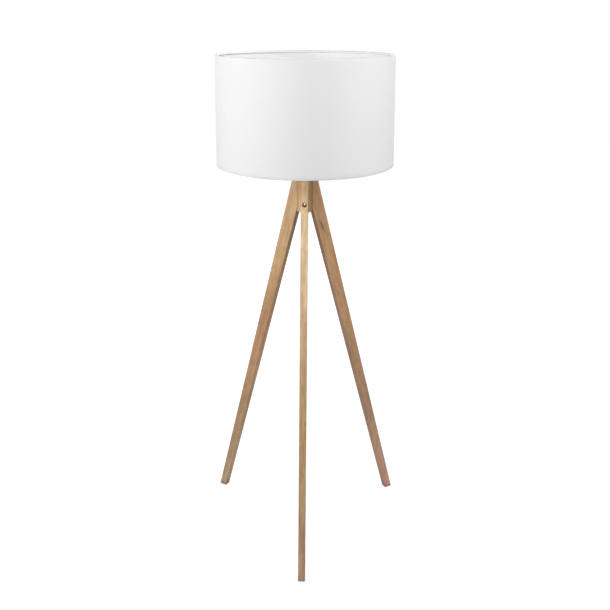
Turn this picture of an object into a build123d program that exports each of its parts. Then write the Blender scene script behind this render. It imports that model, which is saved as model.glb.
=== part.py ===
from build123d import *
import math
import os

# Tripod floor lamp: three tapered wooden legs bolted to a hexagonal hub, and a
# slightly tapered drum shade clamped on the lampholder that stands on the hub.
# Millimetres, +Z up. The origin is on the floor under the lamp's axis, and the
# front leg points to -Y.

os.makedirs("parts", exist_ok=True)

# ---------------------------------------------------------------- legs and feet
front_leg_angle = -90.0
leg_spacing_angle = 120.0
leg_angles = {
    "front": front_leg_angle,
    "right": front_leg_angle + leg_spacing_angle,
    "left": front_leg_angle + 2 * leg_spacing_angle,
}
foot_radius = 345.0  # lamp axis to the outer edge of a foot
foot_depth = 25.0  # a foot along the floor, outer edge to inner edge
leg_thickness = 21.0
leg_tip = 10.0  # wood left at the top of the wedge
leg_edge = 1.5  # rounding of the long edges
seat_length = 109.0  # upright face by which a leg sits on the hub
pad_radius = 8.5
pad_thickness = 2.0

# ------------------------------------------------------------------------- hub
hub_top = 1152.0
hub_across_flats = 40.0
hub_tail = 9.0  # hub below the leg seats
hub_edge = 1.0  # rounding of the upright corners
hub_chamfer = 0.6  # lower end
recess_radius = 10.0  # recess for the lower tube nut
recess_depth = 12.0

# ------------------------------------------------------------------- leg fixing
bolt_above_seat = 21.0  # bolt axis above the lower end of the seat
bolt_radius = 3.0
bolt_grip = 24.0  # wood between the washer and the hub
bolt_reach = 10.0  # bolt past the leg, into the insert
bolt_head_radius = 5.0
bolt_head_rim = 1.4
bolt_head_dome = 2.4
bolt_head_flat = 2.6  # radius of the flat on top of the head
counterbore_radius = 6.5
washer_radius = 6.0
washer_thickness = 1.5
insert_radius = 4.5
insert_length = 12.0
dowel_radius = 4.0
dowel_length = 20.0
dowel_below_top = 40.0

# ------------------------------------------------------- tube, nuts and bushing
tube_radius = 5.0
tube_bore = 4.0
tube_below_nut = 3.0
tube_in_cap = 8.0
nut_across_flats = 14.0
nut_thickness = 3.5
tube_washer_radius = 9.0
tube_washer_thickness = 1.2
plate_radius = 18.0
plate_thickness = 1.5
bushing_bore = 3.5
bushing_flange_radius = 12.5
bushing_flange = 1.8
bushing_spigot = 3.5

# ------------------------------------------------------------------ lampholder
cap_boss_radius = 8.0
cap_boss_height = 6.0
cap_radius = 20.0
cap_chamfer = 3.0
cap_height = 24.0
holder_wall = 2.0
cap_spigot = 5.0  # cap inside the skirt
flange_top = 29.9  # shoulder that carries the shade, above the cap's lower end
flange_radius = 23.0
flange_thickness = 3.0
skirt_radius = 19.6
mouth_height = 58.0  # holder's mouth above the cap's lower end
core_radius = 15.0
core_bottom = 16.0
core_top = 30.0
shell_bore = 13.4
shell_wall = 0.5
contact_width = 8.0
contact_thickness = 0.8
contact_rise = 3.0
contact_start = 8.0  # riveted end of the tongue from the lamp's axis
contact_foot = 4.0
contact_slope = 2.0
contact_end = 4.0  # free end past the axis
terminal_spread = 10.0  # a terminal screw from the lamp's axis
terminal_radius = 2.75
terminal_height = 2.0
terminal_shank = 1.5
terminal_length = 6.0  # screw's head and shank
lock_screw_radius = 1.5
shade_ring_radius = 28.0
shade_ring_flange = 2.5
shade_ring_collar = 23.5
shade_ring_height = 8.0

# ------------------------------------------------------------------------ shade
shade_diameter = 500.0  # lower end
shade_top_diameter = 488.0
shade_height = 295.0
fabric = 0.6
lining = 0.4
ring_wire_radius = 2.0
hem_length = 3.0  # turned-in fabric below the ring's wire
hem_chamfer = 0.8
fitter_recess = 15.0  # fitter above the shade's lower edge
fitter_bore = 20.5
fitter_radius = 30.0
fitter_thickness = 2.0
arm_wire_radius = 2.0
arm_angles = (90.0, 210.0, 330.0)
arm_start = 24.5
arm_lift = 0.6  # an arm's axis above that of the lower ring's wire

# ------------------------------------------------------------------------- bulb
bulb_length = 110.0
bulb_radius = 30.0
bulb_cap_radius = 13.0
bulb_cap_base = 8.0  # lower edge of the screw cap above the bulb's tip
bulb_cap_top = 29.0
bulb_tip_radius = 4.5
bulb_tip_height = 2.5
insulator_rim = 6.5  # radius of the black glass round the tip
housing_neck = 13.8
globe_base = 66.0  # lower edge of the globe above the bulb's tip
globe_wall = 1.5
globe_steps = 4  # flats from the globe's lower edge to its top
board_radius = 20.0
board_thickness = 1.6

# ------------------------------------------------------------------- clearances
fit_gap = 0.1  # between pieces fixed to each other
thread_gap = 0.05  # threads, modelled as plain cylinders
hole_gap = 0.4  # bolt and tube in their holes
seat_gap = 0.1  # under a piece that rests on another and can be lifted off
turn_gap = 0.3  # between pieces that turn or slide on each other

# -------------------------------------------------------------- derived heights
hub_apothem = hub_across_flats / 2
seat_bottom = hub_top - seat_length
hub_bottom = seat_bottom - hub_tail
bolt_height = seat_bottom + bolt_above_seat
dowel_height = hub_top - dowel_below_top
leg_slope = (foot_radius - hub_apothem - leg_tip) / (hub_top - pad_thickness)
counterbore_seat = hub_apothem + bolt_grip
bolt_seat = counterbore_seat + washer_thickness
recess_top = hub_bottom + recess_depth
lower_nut_bottom = recess_top - tube_washer_thickness - nut_thickness
tube_bottom = lower_nut_bottom - tube_below_nut
plate_top = hub_top + plate_thickness
holder_base = plate_top + nut_thickness
tube_top = holder_base + tube_in_cap
holder_shoulder = holder_base + flange_top
core_face = holder_base + core_top
fitter_bottom = holder_shoulder + seat_gap
fitter_top = fitter_bottom + fitter_thickness
shade_bottom = fitter_bottom - fitter_recess
shade_top = shade_bottom + shade_height
ring_inset = fabric + fit_gap + ring_wire_radius  # a ring's wire from the shade's end
top_ring_height = shade_top - ring_inset
bottom_ring_height = shade_bottom + ring_inset
bulb_tip = core_face + contact_rise + seat_gap
bulb_top = bulb_tip + bulb_length
globe_centre = bulb_top - bulb_radius
globe_seam = bulb_tip + globe_base
seam_radius = math.sqrt(bulb_radius**2 - (globe_centre - globe_seam) ** 2)


def leg_outer(height):
    """Radius of a leg's outer face at a height."""
    return foot_radius - leg_slope * (height - pad_thickness)


def shade_radius(height):
    """Radius of the shade's outside at a height."""
    share = (height - shade_bottom) / shade_height
    return (shade_diameter + share * (shade_top_diameter - shade_diameter)) / 2


def lining_radius(height):
    """Radius of the lining's outside at a height."""
    return shade_radius(height) - fabric - fit_gap


def ring_radius(height):
    """Radius of a ring, to the middle of its wire, at the wire's height."""
    return lining_radius(height) - lining - fit_gap - ring_wire_radius


def hem_radius(height):
    """Radius of the inside of the turned-in fabric by a ring at a height."""
    return ring_radius(height) - ring_wire_radius - fit_gap - fabric


def radial_plane(angle):
    """Upright plane through the lamp's axis: x runs outwards and y runs up."""
    turn = math.radians(angle)
    return Plane(
        origin=(0, 0, 0),
        x_dir=(math.cos(turn), math.sin(turn), 0),
        z_dir=(math.sin(turn), -math.cos(turn), 0),
    )


def facing(angle, radius, height, outwards=True):
    """Upright plane at a radius and a height, facing away from the axis or towards it."""
    turn = math.radians(angle)
    sign = 1 if outwards else -1
    return Plane(
        origin=(radius * math.cos(turn), radius * math.sin(turn), height),
        x_dir=(-math.sin(turn), math.cos(turn), 0),
        z_dir=(sign * math.cos(turn), sign * math.sin(turn), 0),
    )


# ========================================================================= legs
def build_leg(angle):
    """One leg: a taper cut level at the foot, with an upright seat and a wedge top."""
    with BuildPart() as leg:
        with BuildSketch(radial_plane(angle)):
            with BuildLine():
                Polyline(
                    (foot_radius, pad_thickness),
                    (hub_apothem + leg_tip, hub_top),
                    (hub_apothem, hub_top),
                    (hub_apothem, seat_bottom),
                    (foot_radius - foot_depth, pad_thickness),
                    close=True,
                )
            make_face()
        extrude(amount=leg_thickness / 2, both=True)
        fillet(leg.edges().sort_by(SortBy.LENGTH)[-4:], leg_edge)
        mouth = leg_outer(bolt_height)
        with Locations(facing(angle, mouth, bolt_height)):
            CounterBoreHole(
                radius=bolt_radius + hole_gap,
                counter_bore_radius=counterbore_radius,
                counter_bore_depth=mouth - counterbore_seat,
            )
        with Locations(facing(angle, hub_apothem, dowel_height, outwards=False)):
            Hole(radius=dowel_radius + fit_gap, depth=dowel_length / 2 + fit_gap)
    return leg


for side, angle in leg_angles.items():
    leg = build_leg(angle)
    leg.part.label = f"leg_{side}"
    export_step(leg.part, f"parts/leg_{side}.step")

# A round felt pad under each foot.
with BuildPart() as foot_pads:
    with BuildSketch():
        for angle in leg_angles.values():
            with PolarLocations(foot_radius - foot_depth / 2, 1, start_angle=angle):
                Circle(pad_radius)
    extrude(amount=pad_thickness)
foot_pads.part.label = "foot_pads"
export_step(foot_pads.part, "parts/foot_pads.step")

# ========================================================================== hub
with BuildPart() as hub_block:
    with BuildSketch(Plane.XY.offset(hub_bottom)):
        RegularPolygon(radius=hub_apothem, side_count=6, major_radius=False)
    extrude(amount=hub_top - hub_bottom)
    fillet(hub_block.edges().filter_by(Axis.Z), hub_edge)
    chamfer(hub_block.faces().sort_by(Axis.Z)[0].outer_wire().edges(), hub_chamfer)
    with Locations(Plane(origin=(0, 0, hub_bottom), z_dir=(0, 0, -1))):
        CounterBoreHole(
            radius=tube_radius + hole_gap,
            counter_bore_radius=recess_radius,
            counter_bore_depth=recess_depth,
        )
    for angle in leg_angles.values():
        with Locations(facing(angle, hub_apothem, bolt_height)):
            Hole(radius=insert_radius + fit_gap, depth=insert_length + fit_gap)
        with Locations(facing(angle, hub_apothem, dowel_height)):
            Hole(radius=dowel_radius + fit_gap, depth=dowel_length / 2 + fit_gap)
hub_block.part.label = "hub_block"
export_step(hub_block.part, "parts/hub_block.step")

# =================================================================== leg fixing
# Domed machine screws, one through each leg into the hub.
with BuildPart() as leg_bolts:
    for angle in leg_angles.values():
        plane = radial_plane(angle)
        with BuildSketch(plane):
            with BuildLine():
                tip = hub_apothem - bolt_reach
                head_top = bolt_seat + bolt_head_rim + bolt_head_dome
                Polyline(
                    (tip, bolt_height),
                    (tip, bolt_height + bolt_radius),
                    (bolt_seat, bolt_height + bolt_radius),
                    (bolt_seat, bolt_height + bolt_head_radius),
                    (bolt_seat + bolt_head_rim, bolt_height + bolt_head_radius),
                    (head_top, bolt_height + bolt_head_flat),
                    (head_top, bolt_height),
                    close=True,
                )
            make_face()
        revolve(axis=Axis(plane.from_local_coords((0, bolt_height)), plane.x_dir))
leg_bolts.part.label = "leg_bolts"
export_step(leg_bolts.part, "parts/leg_bolts.step")

with BuildPart() as leg_washers:
    for angle in leg_angles.values():
        with BuildSketch(facing(angle, counterbore_seat, bolt_height)):
            Circle(washer_radius)
            Circle(bolt_radius + hole_gap, mode=Mode.SUBTRACT)
        extrude(amount=washer_thickness)
leg_washers.part.label = "leg_washers"
export_step(leg_washers.part, "parts/leg_washers.step")

# Threaded inserts, flush with the hub's faces.
with BuildPart() as leg_inserts:
    for angle in leg_angles.values():
        with BuildSketch(facing(angle, hub_apothem, bolt_height)):
            Circle(insert_radius)
            Circle(bolt_radius + thread_gap, mode=Mode.SUBTRACT)
        extrude(amount=-insert_length)
leg_inserts.part.label = "leg_inserts"
export_step(leg_inserts.part, "parts/leg_inserts.step")

# Hidden dowels stop each leg from turning on its one bolt.
with BuildPart() as leg_dowels:
    for angle in leg_angles.values():
        with BuildSketch(facing(angle, hub_apothem, dowel_height)):
            Circle(dowel_radius)
        extrude(amount=dowel_length / 2, both=True)
leg_dowels.part.label = "leg_dowels"
export_step(leg_dowels.part, "parts/leg_dowels.step")

# ======================================================= tube, nuts and bushing
with BuildPart() as threaded_tube:
    with BuildSketch(Plane.XY.offset(tube_bottom)):
        Circle(tube_radius)
        Circle(tube_bore, mode=Mode.SUBTRACT)
    extrude(amount=tube_top - tube_bottom)
threaded_tube.part.label = "threaded_tube"
export_step(threaded_tube.part, "parts/threaded_tube.step")

# One nut in the hub's recess, and one under the lampholder.
with BuildPart() as tube_nuts:
    for bottom in (lower_nut_bottom, plate_top):
        with BuildSketch(Plane.XY.offset(bottom)):
            RegularPolygon(radius=nut_across_flats / 2, side_count=6, major_radius=False)
            Circle(tube_radius + thread_gap, mode=Mode.SUBTRACT)
        extrude(amount=nut_thickness)
tube_nuts.part.label = "tube_nuts"
export_step(tube_nuts.part, "parts/tube_nuts.step")

with BuildPart() as tube_washer:
    with BuildSketch(Plane.XY.offset(recess_top - tube_washer_thickness)):
        Circle(tube_washer_radius)
        Circle(tube_radius + hole_gap, mode=Mode.SUBTRACT)
    extrude(amount=tube_washer_thickness)
tube_washer.part.label = "tube_washer"
export_step(tube_washer.part, "parts/tube_washer.step")

with BuildPart() as top_plate:
    with BuildSketch(Plane.XY.offset(hub_top)):
        Circle(plate_radius)
        Circle(tube_radius + hole_gap, mode=Mode.SUBTRACT)
    extrude(amount=plate_thickness)
top_plate.part.label = "top_plate"
export_step(top_plate.part, "parts/top_plate.step")

# Bushing that closes the recess and guards the cord.
with BuildPart() as cord_bushing:
    with BuildSketch(Plane.XY.offset(hub_bottom - bushing_flange)):
        Circle(bushing_flange_radius)
    extrude(amount=bushing_flange)
    with BuildSketch(Plane.XY.offset(hub_bottom)):
        Circle(recess_radius - fit_gap)
    extrude(amount=bushing_spigot)
    chamfer(cord_bushing.edges().filter_by(GeomType.CIRCLE).sort_by(Axis.Z)[0], bushing_flange / 2)
    with Locations((0, 0, hub_bottom)):
        Hole(radius=bushing_bore)
cord_bushing.part.label = "cord_bushing"
export_step(cord_bushing.part, "parts/cord_bushing.step")


# =================================================================== lampholder
def profile(points, base=0):
    """Half section through the lamp's axis, from (radius, height above base) points."""
    with BuildSketch(Plane.XZ) as section:
        with BuildLine():
            Polyline(*[(radius, base + rise) for radius, rise in points], close=True)
        make_face()
    return section.sketch


spigot_outer = skirt_radius - holder_wall - fit_gap
spigot_inner = spigot_outer - holder_wall

with BuildPart() as holder_cap:
    section = [
        (tube_radius + thread_gap, 0),
        (cap_boss_radius, 0),
        (cap_boss_radius, cap_boss_height),
        (cap_radius - cap_chamfer, cap_boss_height),
        (cap_radius, cap_boss_height + cap_chamfer),
        (cap_radius, cap_height),
        (spigot_outer, cap_height),
        (spigot_outer, cap_height + cap_spigot),
        (spigot_inner, cap_height + cap_spigot),
        (spigot_inner, tube_in_cap + holder_wall),
        (tube_radius + thread_gap, tube_in_cap + holder_wall),
    ]
    revolve(profile(section, holder_base), axis=Axis.Z)
    with Locations(facing(0, cap_boss_radius, holder_base + cap_boss_height / 2)):
        Hole(radius=lock_screw_radius + thread_gap, depth=cap_boss_radius - tube_radius)
holder_cap.part.label = "holder_cap"
export_step(holder_cap.part, "parts/holder_cap.step")

# Grub screw that stops the cap from turning on the tube.
with BuildPart() as lock_screw:
    with BuildSketch(facing(0, tube_radius + fit_gap, holder_base + cap_boss_height / 2)):
        Circle(lock_screw_radius)
    extrude(amount=cap_boss_radius - tube_radius - fit_gap)
lock_screw.part.label = "lock_screw"
export_step(lock_screw.part, "parts/lock_screw.step")

with BuildPart() as holder_skirt:
    section = [
        (spigot_outer + fit_gap, cap_height),
        (cap_radius, cap_height),
        (cap_radius, flange_top - flange_thickness),
        (flange_radius, flange_top - flange_thickness),
        (flange_radius, flange_top),
        (skirt_radius, flange_top),
        (skirt_radius, mouth_height),
        (skirt_radius - holder_wall, mouth_height),
    ]
    revolve(profile(section, holder_base), axis=Axis.Z)
holder_skirt.part.label = "holder_skirt"
export_step(holder_skirt.part, "parts/holder_skirt.step")

# Ceramic core that carries the terminals and the contacts.
with BuildPart() as holder_core:
    with BuildSketch(Plane.XY.offset(holder_base + core_bottom)):
        Circle(core_radius)
    extrude(amount=core_top - core_bottom)
    with BuildSketch(Plane.XY.offset(holder_base + core_bottom)):
        with PolarLocations(terminal_spread, 2):
            Circle(terminal_radius + fit_gap)
    extrude(amount=terminal_height, mode=Mode.SUBTRACT)
    with BuildSketch(Plane.XY.offset(holder_base + core_bottom)):
        with PolarLocations(terminal_spread, 2):
            Circle(terminal_shank + thread_gap)
    extrude(amount=terminal_length, mode=Mode.SUBTRACT)
holder_core.part.label = "holder_core"
export_step(holder_core.part, "parts/holder_core.step")

with BuildPart() as terminal_screws:
    with BuildSketch(Plane.XY.offset(holder_base + core_bottom)):
        with PolarLocations(terminal_spread, 2):
            Circle(terminal_radius)
    extrude(amount=terminal_height)
    with BuildSketch(Plane.XY.offset(holder_base + core_bottom)):
        with PolarLocations(terminal_spread, 2):
            Circle(terminal_shank)
    extrude(amount=terminal_length)
terminal_screws.part.label = "terminal_screws"
export_step(terminal_screws.part, "parts/terminal_screws.step")

with BuildPart() as screw_shell:
    with BuildSketch(Plane.XY.offset(core_face)):
        Circle(shell_bore + shell_wall)
        Circle(shell_bore, mode=Mode.SUBTRACT)
    extrude(amount=mouth_height - core_top - turn_gap)
screw_shell.part.label = "screw_shell"
export_step(screw_shell.part, "parts/screw_shell.step")

# Springy tongue under the bulb's tip: riveted flat at one end, raised in the middle.
with BuildPart() as centre_contact:
    with BuildSketch(Plane.XZ.offset(-contact_width / 2)):
        with BuildLine():
            foot_end = contact_foot - contact_start
            raised = core_face + contact_rise - contact_thickness
            lower = [
                (-contact_start, core_face),
                (foot_end, core_face),
                (foot_end + contact_slope, raised),
                (contact_end, raised),
            ]
            upper = [(x, z + contact_thickness) for x, z in lower]
            Polyline(*lower, *upper[::-1], close=True)
        make_face()
    extrude(amount=contact_width)
centre_contact.part.label = "centre_contact"
export_step(centre_contact.part, "parts/centre_contact.step")

# Knurled ring that clamps the shade's fitter on the holder's shoulder.
with BuildPart() as shade_ring:
    section = [
        (skirt_radius + turn_gap, seat_gap),
        (shade_ring_radius, seat_gap),
        (shade_ring_radius, seat_gap + shade_ring_flange),
        (shade_ring_collar, seat_gap + shade_ring_flange),
        (shade_ring_collar, seat_gap + shade_ring_height),
        (skirt_radius + turn_gap, seat_gap + shade_ring_height),
    ]
    revolve(profile(section, fitter_top), axis=Axis.Z)
shade_ring.part.label = "shade_ring"
export_step(shade_ring.part, "parts/shade_ring.step")


# ======================================================================== shade
def hem(end, inwards):
    """Profile points of the fabric round one ring's wire, from the wall's inside round to its outside.

    end is the shade's upper or lower edge, and inwards is the direction of its middle.
    """
    hem_inner = hem_radius(end + inwards * ring_inset)
    turned_in = end + inwards * (ring_inset + ring_wire_radius + hem_length)
    wall_inside = end + inwards * fabric
    wall_outside = end + inwards * hem_chamfer
    return [
        (shade_radius(wall_inside) - fabric, wall_inside),
        (hem_inner + fabric, wall_inside),
        (hem_inner + fabric, turned_in),
        (hem_inner, turned_in),
        (hem_inner, end),
        (shade_radius(end) - hem_chamfer, end),
        (shade_radius(wall_outside), wall_outside),
    ]


# Fabric cover: the wall, with its ends turned in over the rings' wires.
with BuildPart() as shade_cover:
    section = hem(shade_top, -1) + hem(shade_bottom, 1)[::-1]
    revolve(profile(section), axis=Axis.Z)
    for angle in arm_angles:
        with Locations(facing(angle, hem_radius(bottom_ring_height), bottom_ring_height + arm_lift)):
            Hole(radius=arm_wire_radius + fit_gap, depth=fabric + fit_gap)
shade_cover.part.label = "shade_cover"
export_step(shade_cover.part, "parts/shade_cover.step")

with BuildPart() as shade_lining:
    lower_end = shade_bottom + fabric + fit_gap
    upper_end = shade_top - fabric - fit_gap
    outside = [(lining_radius(height), height) for height in (lower_end, upper_end)]
    inside = [(radius - lining, height) for radius, height in outside]
    revolve(profile(outside + inside[::-1]), axis=Axis.Z)
shade_lining.part.label = "shade_lining"
export_step(shade_lining.part, "parts/shade_lining.step")


arm_run = ring_radius(bottom_ring_height) - ring_wire_radius - arm_start
arm_drop = fitter_recess - arm_wire_radius - ring_inset - arm_lift
arm_length = math.hypot(arm_run, arm_drop)


def arm_plane(angle):
    """Plane square to an arm at its inner end, under the fitter."""
    turn = math.radians(angle)
    return Plane(
        origin=(arm_start * math.cos(turn), arm_start * math.sin(turn), fitter_bottom - arm_wire_radius),
        x_dir=(-math.sin(turn), math.cos(turn), 0),
        z_dir=(arm_run * math.cos(turn), arm_run * math.sin(turn), -arm_drop),
    )


def build_ring(height):
    """Wire ring at one end of the shade."""
    with BuildPart() as ring:
        with BuildSketch(Plane.XZ):
            with Locations((ring_radius(height), height)):
                RegularPolygon(radius=ring_wire_radius, side_count=6, rotation=30)
        revolve(axis=Axis.Z)
    return ring


top_ring = build_ring(top_ring_height)
top_ring.part.label = "top_ring"
export_step(top_ring.part, "parts/top_ring.step")

bottom_ring = build_ring(bottom_ring_height)
bottom_ring.part.label = "bottom_ring"
export_step(bottom_ring.part, "parts/bottom_ring.step")

with BuildPart() as fitter_ring:
    with BuildSketch(Plane.XY.offset(fitter_bottom)):
        Circle(fitter_radius)
        Circle(fitter_bore, mode=Mode.SUBTRACT)
    extrude(amount=fitter_thickness)
fitter_ring.part.label = "fitter_ring"
export_step(fitter_ring.part, "parts/fitter_ring.step")

# Wires from under the fitter down to the lower ring, which they reach through slits in the hem.
with BuildPart() as spider_arms:
    for angle in arm_angles:
        with BuildSketch(arm_plane(angle)):
            Circle(arm_wire_radius)
        extrude(amount=arm_length)
spider_arms.part.label = "spider_arms"
export_step(spider_arms.part, "parts/spider_arms.step")

# ========================================================================= bulb
with BuildPart() as bulb_contact:
    with BuildSketch(Plane.XY.offset(bulb_tip)):
        Circle(bulb_tip_radius)
    extrude(amount=bulb_tip_height)
bulb_contact.part.label = "bulb_contact"
export_step(bulb_contact.part, "parts/bulb_contact.step")

with BuildPart() as bulb_insulator:
    section = [
        (0, bulb_tip_height),
        (insulator_rim, bulb_tip_height),
        (bulb_cap_radius - shell_wall - fit_gap, bulb_cap_base),
        (0, bulb_cap_base),
    ]
    revolve(profile(section, bulb_tip), axis=Axis.Z)
bulb_insulator.part.label = "bulb_insulator"
export_step(bulb_insulator.part, "parts/bulb_insulator.step")

with BuildPart() as bulb_cap:
    with BuildSketch(Plane.XY.offset(bulb_tip + bulb_cap_base)):
        Circle(bulb_cap_radius)
        Circle(bulb_cap_radius - shell_wall, mode=Mode.SUBTRACT)
    extrude(amount=bulb_cap_top - bulb_cap_base)
bulb_cap.part.label = "bulb_cap"
export_step(bulb_cap.part, "parts/bulb_cap.step")


def dome(radius, steps):
    """Points from the globe's lower edge up to its top, at a radius about the globe's centre."""
    lowest = math.asin((globe_seam - globe_centre) / radius)
    angles = [lowest + (math.pi / 2 - lowest) * step / steps for step in range(steps + 1)]
    return [(max(radius * math.cos(a), 0), globe_centre + radius * math.sin(a)) for a in angles]


# The housing's plug fills the screw cap, and its cone flares up to the globe.
with BuildPart() as bulb_housing:
    section = [
        (0, bulb_cap_base),
        (bulb_cap_radius - shell_wall - fit_gap, bulb_cap_base),
        (bulb_cap_radius - shell_wall - fit_gap, bulb_cap_top),
        (housing_neck, bulb_cap_top),
        (seam_radius, globe_base),
        (0, globe_base),
    ]
    revolve(profile(section, bulb_tip), axis=Axis.Z)
bulb_housing.part.label = "bulb_housing"
export_step(bulb_housing.part, "parts/bulb_housing.step")

with BuildPart() as led_board:
    with BuildSketch(Plane.XY.offset(globe_seam)):
        Circle(board_radius)
    extrude(amount=board_thickness)
led_board.part.label = "led_board"
export_step(led_board.part, "parts/led_board.step")

with BuildPart() as bulb_globe:
    outside = dome(bulb_radius, globe_steps)
    inside = dome(bulb_radius - globe_wall, globe_steps // 2)
    revolve(profile(outside + inside[::-1]), axis=Axis.Z)
bulb_globe.part.label = "bulb_globe"
export_step(bulb_globe.part, "parts/bulb_globe.step")
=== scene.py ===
"""Looks of the tripod floor lamp: materials, fine forms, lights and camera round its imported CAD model.

Metres, +Z up, in the CAD model's frame: the floor is z = 0, the lamp's axis is the Z axis and the front leg
points to -Y.
"""

import math

import bmesh
import bpy
from mathutils import Euler, Matrix, Vector


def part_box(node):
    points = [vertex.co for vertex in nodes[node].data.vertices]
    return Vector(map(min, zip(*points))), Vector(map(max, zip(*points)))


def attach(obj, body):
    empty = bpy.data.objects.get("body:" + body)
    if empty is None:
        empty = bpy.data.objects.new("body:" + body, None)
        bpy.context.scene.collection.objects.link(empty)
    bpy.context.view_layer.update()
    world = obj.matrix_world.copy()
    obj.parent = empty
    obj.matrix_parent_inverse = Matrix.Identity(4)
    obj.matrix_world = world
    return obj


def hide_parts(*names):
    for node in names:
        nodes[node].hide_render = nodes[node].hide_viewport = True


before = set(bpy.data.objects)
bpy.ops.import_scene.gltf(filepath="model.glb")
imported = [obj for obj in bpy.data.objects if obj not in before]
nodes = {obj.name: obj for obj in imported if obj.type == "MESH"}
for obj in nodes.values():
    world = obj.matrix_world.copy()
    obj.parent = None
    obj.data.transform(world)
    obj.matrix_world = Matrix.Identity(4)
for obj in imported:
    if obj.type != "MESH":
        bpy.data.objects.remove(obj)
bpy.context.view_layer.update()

MM = 0.001
LEG_ANGLES = {"front": -90.0, "right": 30.0, "left": 150.0}
ARM_ANGLES = (90.0, 210.0, 330.0)
BOLT_TWISTS = (12, 57, 31)
BOLT_HEIGHT = sum(corner.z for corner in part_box("leg_bolts")) / 2

# Tints of the wood as (height, colour) pairs up the lamp. The table below is for every face: part the boards'
# own tone and part painted light and shade, such as the front leg's paler top and the tops brightened where
# the shade's soft shadow falls. The table after it is added as well for faces that look at the lamp's axis.
TONE_TOP = 1.2
PLAIN = ((0.0, (1, 1, 1)),)
LEG_TONE_AND_PAINTED_LIGHT = {
    "front": [
        (0.05, (0.91, 0.82, 0.89)), (0.25, (1.01, 0.98, 0.99)), (0.53, (1.04, 1.00, 0.90)),
        (0.63, (1.08, 1.07, 1.00)), (0.77, (1.43, 1.49, 1.64)), (0.97, (1.57, 1.72, 1.91)),
        (1.09, (1.48, 1.49, 1.36)), (1.127, (2.06, 2.06, 1.85)),
    ],
    "left": [
        (0.05, (1.12, 1.17, 1.36)), (0.25, (0.96, 0.91, 0.91)), (0.40, (1.00, 0.92, 0.88)),
        (0.58, (1.13, 1.03, 1.00)), (0.70, (1.01, 0.86, 0.80)), (0.78, (1.01, 0.95, 0.88)),
        (0.88, (1.36, 1.32, 1.21)), (1.02, (1.22, 1.26, 1.28)), (1.075, (1.26, 1.30, 1.32)),
        (1.11, (1.52, 1.57, 1.60)),
    ],
    "right": [
        (0.05, (1.29, 1.17, 1.38)), (0.20, (1.17, 1.10, 1.30)), (0.38, (0.95, 0.88, 0.94)),
        (0.55, (0.90, 0.80, 0.75)), (0.70, (1.04, 0.94, 0.89)), (0.77, (0.96, 0.85, 0.79)),
        (0.88, (1.08, 0.96, 0.90)), (1.02, (1.20, 1.12, 1.08)), (1.06, (1.27, 1.19, 1.14)),
        (1.085, (1.41, 1.31, 1.27)),
    ],
    "hub": [(1.10, (1.34, 1.31, 1.19)), (1.127, (1.50, 1.47, 1.34))],
}
# Painted shade on the faces that look at the lamp's axis, darkest near the hub.
INNER_PAINTED_SHADE = {
    "front": [(0.80, (0.62, 0.53, 0.48)), (1.00, (0.46, 0.36, 0.30))],
    "left": [
        (0.52, (0.86, 0.76, 0.67)), (0.74, (0.74, 0.62, 0.55)), (0.84, (0.56, 0.46, 0.39)),
        (1.00, (0.42, 0.29, 0.22)),
    ],
    "right": [
        (0.52, (0.61, 0.52, 0.46)), (0.74, (0.55, 0.43, 0.40)), (0.84, (0.47, 0.37, 0.31)),
        (1.00, (0.35, 0.26, 0.21)),
    ],
}
# Painted shade on the hub's rear, darker and redder towards the rear legs.
HUB_REAR_SHADE = (0.77, 0.60, 0.54)
# Painted shade in the corners where the pieces meet.
CORNER_SHADE_TINT = (0.30, 0.20, 0.14)
EDGE_TINT = (0.66, 0.65, 0.66)
KNOT = Vector((0.0507, 0.0171, 0.9855))

# Surroundings and lights. AMBIENT and the glows are strengths, where 1 shows as white.
AMBIENT = 0.03
FLOOR_GLOW_NEAR = 0.66
FLOOR_GLOW_FAR = 1.0
LIGHT_AIM = (0, 0, 1.1)
SOFTBOXES = (
    # name, place, size, watts
    ("left", (-3.0, -0.8, 1.9), 1.5, 52),
    ("left_back", (-3.0, 0.9, 2.4), 1.5, 20),
    ("right", (3.0, 0.0, 3.4), 1.5, 89),
    ("front", (0.1, -2.7, 1.95), 0.9, 37),
    ("front_high", (0.1, -2.9, 3.4), 0.9, 13),
    ("back", (0.3, 3.0, 2.2), 1.5, 24),
    ("top", (0.0, 0.3, 3.6), 1.5, 36),
)


# --- sizes from the frame
def outer_radius(node):
    """Largest radius of a round node about the lamp's axis."""
    low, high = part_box(node)
    return (high.x - low.x) / 2


def inner_radius(node, low=-math.inf, high=math.inf):
    """Smallest radius of a round node about the lamp's axis, between two heights."""
    return min(math.hypot(v.co.x, v.co.y) for v in nodes[node].data.vertices if low <= v.co.z <= high)


def span(node):
    """Lowest and highest z of a node."""
    low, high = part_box(node)
    return low.z, high.z


# --- materials
def dimmed(color, share):
    """Colour times one number."""
    return tuple(share * c for c in color)


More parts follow.
